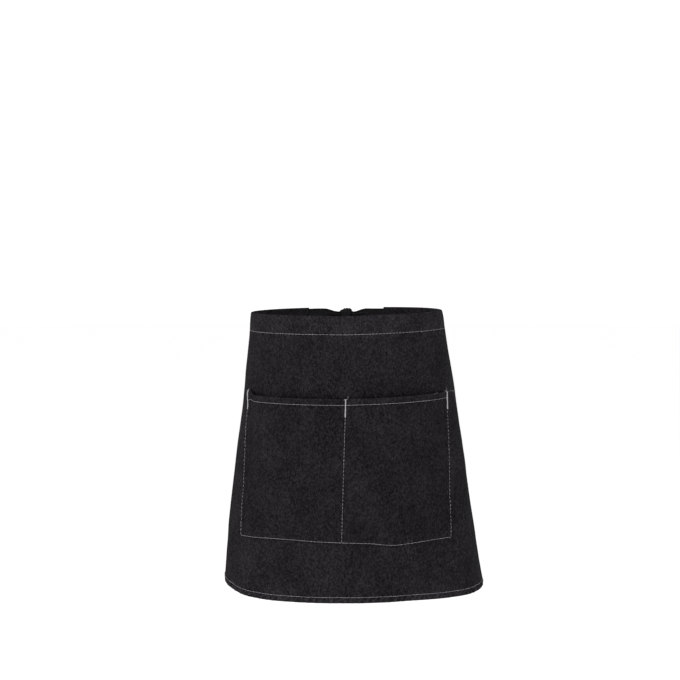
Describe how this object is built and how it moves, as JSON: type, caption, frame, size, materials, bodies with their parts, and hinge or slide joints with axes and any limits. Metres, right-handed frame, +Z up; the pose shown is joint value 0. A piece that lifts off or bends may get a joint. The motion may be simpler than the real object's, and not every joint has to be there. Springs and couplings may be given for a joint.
{
  "type": "waist apron",
  "caption": "Half apron of dark denim in its worn form, with a folded casing at the waist, a divided patch pocket and tapes tied in a bow behind.",
  "frame": {"origin": "centre of the hollow that the waist fills, at half the height of the folded casing", "axes": "+Z up along the wearer's waist, -Y out of the front, +X towards the right of the front view"},
  "size_m": [0.4227, 0.2734, 0.4542],
  "materials": {
    "denim": "matt near-black twill",
    "pocket_denim": "matt near-black twill",
    "tape": "matt black woven tape",
    "thread": "off-white sewing thread"
  },
  "bodies": {
    "root": {"apron_panel": "denim", "pocket": "pocket_denim", "tie_left": "tape", "tie_right": "tape", "bow_knot": "tape", "bow_loop_left": "tape", "bow_loop_right": "tape", "tie_tail_left": "tape", "tie_tail_right": "tape"}
  },
  "joints": []
}
